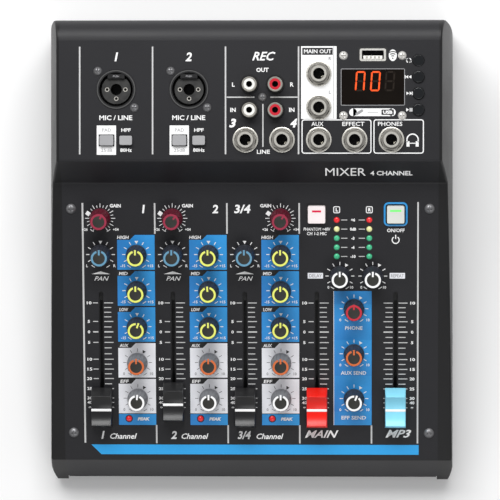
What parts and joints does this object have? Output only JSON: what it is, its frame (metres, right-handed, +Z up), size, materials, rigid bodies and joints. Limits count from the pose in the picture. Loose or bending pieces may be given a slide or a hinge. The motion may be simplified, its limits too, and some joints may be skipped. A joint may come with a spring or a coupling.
{
  "type": "mixing console",
  "caption": "Small tabletop mixing console with a sloping panel of dials and slide faders, and a raised deck with jack sockets, display and buttons, between moulded side cheeks.",
  "frame": {"origin": "middle of the footprint, on the table under the rubber feet", "axes": "+X to the user's right, +Y to the back, away from the user, +Z up"},
  "size_m": [0.234, 0.266, 0.0775],
  "materials": {
    "cover_steel": "fine satin powder coat",
    "cheek_plastic": "fine moulded grain",
    "base_steel": "satin",
    "foot_rubber": "matte",
    "screw_steel": "plated",
    "circuit_board": "satin solder mask",
    "pot_steel": "plated",
    "switch_plastic": "moulded",
    "socket_plastic": "moulded",
    "bush_nickel": "nickel plated",
    "window_plastic": "clear dark window",
    "lamp_plastic": "diffused lens",
    "knob_plastic": "satin",
    "fader_black": "satin",
    "fader_red": "satin",
    "fader_blue": "satin",
    "button_grey": "satin",
    "button_white": "satin",
    "button_black": "satin"
  },
  "bodies": {
    "console": {"top_cover": "cover_steel", "right_cheek": "cheek_plastic", "base_plate": "base_steel", "rubber_feet": "foot_rubber", "screws": "screw_steel", "main_board": "circuit_board", "connector_boards": "circuit_board", "rca_jacks": "socket_plastic", "usb_socket": "bush_nickel", "display_module": "window_plastic", "power_inlet": "bush_nickel", "left_cheek": "cheek_plastic", "pot_bodies": "pot_steel", "fader_bodies": "pot_steel", "switch_bodies": "switch_plastic", "combo_jacks": "socket_plastic", "phone_jacks": "bush_nickel", "jack_nuts": "bush_nickel", "leds": "lamp_plastic"},
    "effect_knob_1": {"effect_knob_1": "knob_plastic"},
    "aux_knob_1": {"aux_knob_1": "knob_plastic"},
    "low_knob_1": {"low_knob_1": "knob_plastic"},
    "mid_knob_1": {"mid_knob_1": "knob_plastic"},
    "high_knob_1": {"high_knob_1": "knob_plastic"},
    "pan_knob_1": {"pan_knob_1": "knob_plastic"},
    "gain_knob_1": {"gain_knob_1": "knob_plastic"},
    "effect_knob_2": {"effect_knob_2": "knob_plastic"},
    "aux_knob_2": {"aux_knob_2": "knob_plastic"},
    "low_knob_2": {"low_knob_2": "knob_plastic"},
    "mid_knob_2": {"mid_knob_2": "knob_plastic"},
    "high_knob_2": {"high_knob_2": "knob_plastic"},
    "pan_knob_2": {"pan_knob_2": "knob_plastic"},
    "gain_knob_2": {"gain_knob_2": "knob_plastic"},
    "effect_knob_3": {"effect_knob_3": "knob_plastic"},
    "aux_knob_3": {"aux_knob_3": "knob_plastic"},
    "low_knob_3": {"low_knob_3": "knob_plastic"},
    "mid_knob_3": {"mid_knob_3": "knob_plastic"},
    "high_knob_3": {"high_knob_3": "knob_plastic"},
    "pan_knob_3": {"pan_knob_3": "knob_plastic"},
    "gain_knob_3": {"gain_knob_3": "knob_plastic"},
    "delay_knob": {"delay_knob": "knob_plastic"},
    "repeat_knob": {"repeat_knob": "knob_plastic"},
    "phones_knob": {"phones_knob": "knob_plastic"},
    "aux_send_knob": {"aux_send_knob": "knob_plastic"},
    "effect_send_knob": {"effect_send_knob": "knob_plastic"},
    "fader_1": {"fader_1": "fader_black"},
    "fader_2": {"fader_2": "fader_black"},
    "fader_3": {"fader_3": "fader_black"},
    "main_fader": {"main_fader": "fader_red"},
    "player_fader": {"player_fader": "fader_blue"},
    "phantom_button": {"phantom_button": "button_white"},
    "power_button": {"power_button": "button_grey"},
    "pad_button_1": {"pad_button_1": "button_grey"},
    "lowcut_button_1": {"lowcut_button_1": "button_grey"},
    "pad_button_2": {"pad_button_2": "button_grey"},
    "lowcut_button_2": {"lowcut_button_2": "button_grey"},
    "mode_button": {"mode_button": "button_black"},
    "previous_button": {"previous_button": "button_black"},
    "next_button": {"next_button": "button_black"},
    "play_button": {"play_button": "button_black"}
  },
  "joints": [
    {"name": "effect_knob_1_turn", "type": "hinge", "parent": "console", "child": "effect_knob_1", "pos_m": [-0.0655, -0.08435, 0.03368], "axis": [0, 0.1564, -0.9877], "range_deg": [-156, 144]},
    {"name": "aux_knob_1_turn", "type": "hinge", "parent": "console", "child": "aux_knob_1", "pos_m": [-0.0655, -0.06351, 0.03698], "axis": [0, 0.1564, -0.9877], "range_deg": [-150, 150]},
    {"name": "low_knob_1_turn", "type": "hinge", "parent": "console", "child": "low_knob_1", "pos_m": [-0.0655, -0.04267, 0.04028], "axis": [0, 0.1564, -0.9877], "range_deg": [-170, 130]},
    {"name": "mid_knob_1_turn", "type": "hinge", "parent": "console", "child": "mid_knob_1", "pos_m": [-0.0655, -0.02183, 0.04358], "axis": [0, 0.1564, -0.9877], "range_deg": [-150, 150]},
    {"name": "high_knob_1_turn", "type": "hinge", "parent": "console", "child": "high_knob_1", "pos_m": [-0.0655, -0.00099, 0.04688], "axis": [0, 0.1564, -0.9877], "range_deg": [-150, 150]},
    {"name": "pan_knob_1_turn", "type": "hinge", "parent": "console", "child": "pan_knob_1", "pos_m": [-0.0862, -0.00099, 0.04688], "axis": [0, 0.1564, -0.9877], "range_deg": [-150, 150]},
    {"name": "gain_knob_1_turn", "type": "hinge", "parent": "console", "child": "gain_knob_1", "pos_m": [-0.0862, 0.01985, 0.05018], "axis": [0, 0.1564, -0.9877], "range_deg": [-175, 125]},
    {"name": "effect_knob_2_turn", "type": "hinge", "parent": "console", "child": "effect_knob_2", "pos_m": [-0.024, -0.08435, 0.03368], "axis": [0, 0.1564, -0.9877], "range_deg": [-150, 150]},
    {"name": "aux_knob_2_turn", "type": "hinge", "parent": "console", "child": "aux_knob_2", "pos_m": [-0.024, -0.06351, 0.03698], "axis": [0, 0.1564, -0.9877], "range_deg": [-150, 150]},
    {"name": "low_knob_2_turn", "type": "hinge", "parent": "console", "child": "low_knob_2", "pos_m": [-0.024, -0.04267, 0.04028], "axis": [0, 0.1564, -0.9877], "range_deg": [-150, 150]},
    {"name": "mid_knob_2_turn", "type": "hinge", "parent": "console", "child": "mid_knob_2", "pos_m": [-0.024, -0.02183, 0.04358], "axis": [0, 0.1564, -0.9877], "range_deg": [-145, 155]},
    {"name": "high_knob_2_turn", "type": "hinge", "parent": "console", "child": "high_knob_2", "pos_m": [-0.024, -0.00099, 0.04688], "axis": [0, 0.1564, -0.9877], "range_deg": [-150, 150]},
    {"name": "pan_knob_2_turn", "type": "hinge", "parent": "console", "child": "pan_knob_2", "pos_m": [-0.0447, -0.00099, 0.04688], "axis": [0, 0.1564, -0.9877], "range_deg": [-150, 150]},
    {"name": "gain_knob_2_turn", "type": "hinge", "parent": "console", "child": "gain_knob_2", "pos_m": [-0.0447, 0.01985, 0.05018], "axis": [0, 0.1564, -0.9877], "range_deg": [-188, 112]},
    {"name": "effect_knob_3_turn", "type": "hinge", "parent": "console", "child": "effect_knob_3", "pos_m": [0.0175, -0.08435, 0.03368], "axis": [0, 0.1564, -0.9877], "range_deg": [-150, 150]},
    {"name": "aux_knob_3_turn", "type": "hinge", "parent": "console", "child": "aux_knob_3", "pos_m": [0.0175, -0.06351, 0.03698], "axis": [0, 0.1564, -0.9877], "range_deg": [-150, 150]},
    {"name": "low_knob_3_turn", "type": "hinge", "parent": "console", "child": "low_knob_3", "pos_m": [0.0175, -0.04267, 0.04028], "axis": [0, 0.1564, -0.9877], "range_deg": [-150, 150]},
    {"name": "mid_knob_3_turn", "type": "hinge", "parent": "console", "child": "mid_knob_3", "pos_m": [0.0175, -0.02183, 0.04358], "axis": [0, 0.1564, -0.9877], "range_deg": [-150, 150]},
    {"name": "high_knob_3_turn", "type": "hinge", "parent": "console", "child": "high_knob_3", "pos_m": [0.0175, -0.00099, 0.04688], "axis": [0, 0.1564, -0.9877], "range_deg": [-150, 150]},
    {"name": "pan_knob_3_turn", "type": "hinge", "parent": "console", "child": "pan_knob_3", "pos_m": [-0.0032, -0.00099, 0.04688], "axis": [0, 0.1564, -0.9877], "range_deg": [-150, 150]},
    {"name": "gain_knob_3_turn", "type": "hinge", "parent": "console", "child": "gain_knob_3", "pos_m": [0.0175, 0.01985, 0.05018], "axis": [0, 0.1564, -0.9877], "range_deg": [-180, 120]},
    {"name": "delay_knob_turn", "type": "hinge", "parent": "console", "child": "delay_knob", "pos_m": [0.0515, -0.01333, 0.04493], "axis": [0, 0.1564, -0.9877], "range_deg": [-150, 150]},
    {"name": "repeat_knob_turn", "type": "hinge", "parent": "console", "child": "repeat_knob", "pos_m": [0.0704, -0.01333, 0.04493], "axis": [0, 0.1564, -0.9877], "range_deg": [-150, 150]},
    {"name": "phones_knob_turn", "type": "hinge", "parent": "console", "child": "phones_knob", "pos_m": [0.0596, -0.0322, 0.04194], "axis": [0, 0.1564, -0.9877], "range_deg": [-150, 150]},
    {"name": "aux_send_knob_turn", "type": "hinge", "parent": "console", "child": "aux_send_knob", "pos_m": [0.0596, -0.05827, 0.03781], "axis": [0, 0.1564, -0.9877], "range_deg": [-150, 150]},
    {"name": "effect_send_knob_turn", "type": "hinge", "parent": "console", "child": "effect_send_knob", "pos_m": [0.0596, -0.08435, 0.03368], "axis": [0, 0.1564, -0.9877], "range_deg": [-172, 128]},
    {"name": "fader_1_slide", "type": "slide", "parent": "console", "child": "fader_1", "axis": [0, 0.9877, 0.1564], "range_m": [0, 0.06]},
    {"name": "fader_2_slide", "type": "slide", "parent": "console", "child": "fader_2", "axis": [0, 0.9877, 0.1564], "range_m": [-0.0032, 0.0568]},
    {"name": "fader_3_slide", "type": "slide", "parent": "console", "child": "fader_3", "axis": [0, 0.9877, 0.1564], "range_m": [0, 0.06]},
    {"name": "main_fader_slide", "type": "slide", "parent": "console", "child": "main_fader", "axis": [0, 0.9877, 0.1564], "range_m": [0, 0.06]},
    {"name": "player_fader_slide", "type": "slide", "parent": "console", "child": "player_fader", "axis": [0, 0.9877, 0.1564], "range_m": [0, 0.06]},
    {"name": "phantom_button_press", "type": "slide", "parent": "console", "child": "phantom_button", "axis": [0, 0.1564, -0.9877], "range_m": [0, 0.002], "stiffness_N_per_m": 400, "springref_m": -0.001},
    {"name": "power_button_press", "type": "slide", "parent": "console", "child": "power_button", "axis": [0, 0.1564, -0.9877], "range_m": [0, 0.002], "stiffness_N_per_m": 400, "springref_m": -0.001},
    {"name": "pad_button_1_press", "type": "slide", "parent": "console", "child": "pad_button_1", "axis": [0, 0, -1], "range_m": [0, 0.002], "stiffness_N_per_m": 400, "springref_m": -0.001},
    {"name": "lowcut_button_1_press", "type": "slide", "parent": "console", "child": "lowcut_button_1", "axis": [0, 0, -1], "range_m": [0, 0.002], "stiffness_N_per_m": 400, "springref_m": -0.001},
    {"name": "pad_button_2_press", "type": "slide", "parent": "console", "child": "pad_button_2", "axis": [0, 0, -1], "range_m": [0, 0.002], "stiffness_N_per_m": 400, "springref_m": -0.001},
    {"name": "lowcut_button_2_press", "type": "slide", "parent": "console", "child": "lowcut_button_2", "axis": [0, 0, -1], "range_m": [0, 0.002], "stiffness_N_per_m": 400, "springref_m": -0.001},
    {"name": "mode_button_press", "type": "slide", "parent": "console", "child": "mode_button", "axis": [0, 0, -1], "range_m": [0, 0.0005], "stiffness_N_per_m": 1500, "springref_m": -0.001},
    {"name": "previous_button_press", "type": "slide", "parent": "console", "child": "previous_button", "axis": [0, 0, -1], "range_m": [0, 0.0005], "stiffness_N_per_m": 1500, "springref_m": -0.001},
    {"name": "next_button_press", "type": "slide", "parent": "console", "child": "next_button", "axis": [0, 0, -1], "range_m": [0, 0.0005], "stiffness_N_per_m": 1500, "springref_m": -0.001},
    {"name": "play_button_press", "type": "slide", "parent": "console", "child": "play_button", "axis": [0, 0, -1], "range_m": [0, 0.0005], "stiffness_N_per_m": 1500, "springref_m": -0.001}
  ]
}
